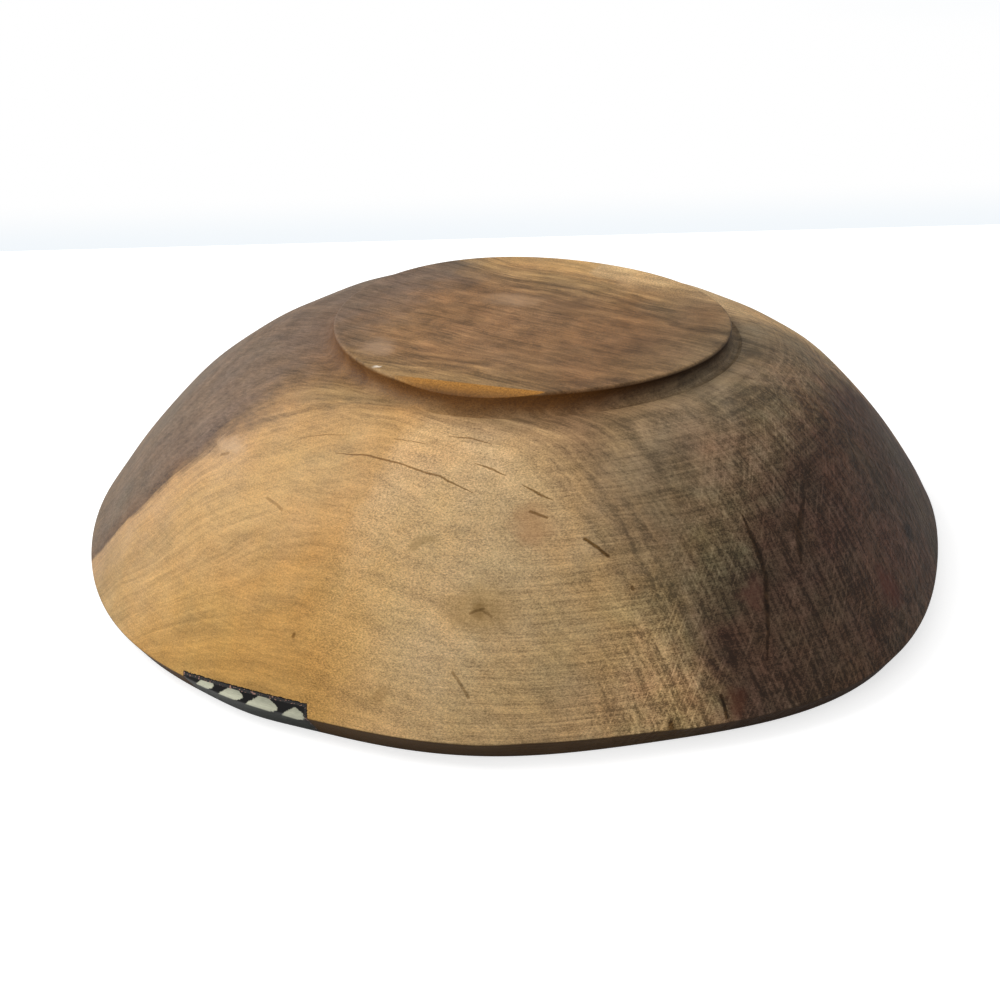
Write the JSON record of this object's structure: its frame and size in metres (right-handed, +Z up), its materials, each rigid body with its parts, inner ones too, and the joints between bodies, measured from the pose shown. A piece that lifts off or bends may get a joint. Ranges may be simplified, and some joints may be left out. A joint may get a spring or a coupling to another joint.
{
  "type": "carved wooden bowl",
  "caption": "Shallow oval hand-carved wooden bowl on a foot disc, with a dyed bone bar let into its rim, stored upside down on the rim.",
  "frame": {"origin": "on the surface that the bowl's rim stands on, under the middle of the bowl's outline", "axes": "+X along the oval's length, +Y along its width, away from the side with the inlay, +Z up through the foot: the bowl is upside down"},
  "size_m": [0.2772, 0.2336, 0.0713],
  "materials": {
    "bowl_wood": "sanded two-tone wood, pale sapwood and dark heartwood, satin",
    "bone": "polished bone with black resist-dyed stripes",
    "black_glue": "cured black filler, rough"
  },
  "bodies": {
    "root": {"bowl": "bowl_wood", "bone_inlay": "bone", "glue_bed": "black_glue"}
  },
  "joints": []
}
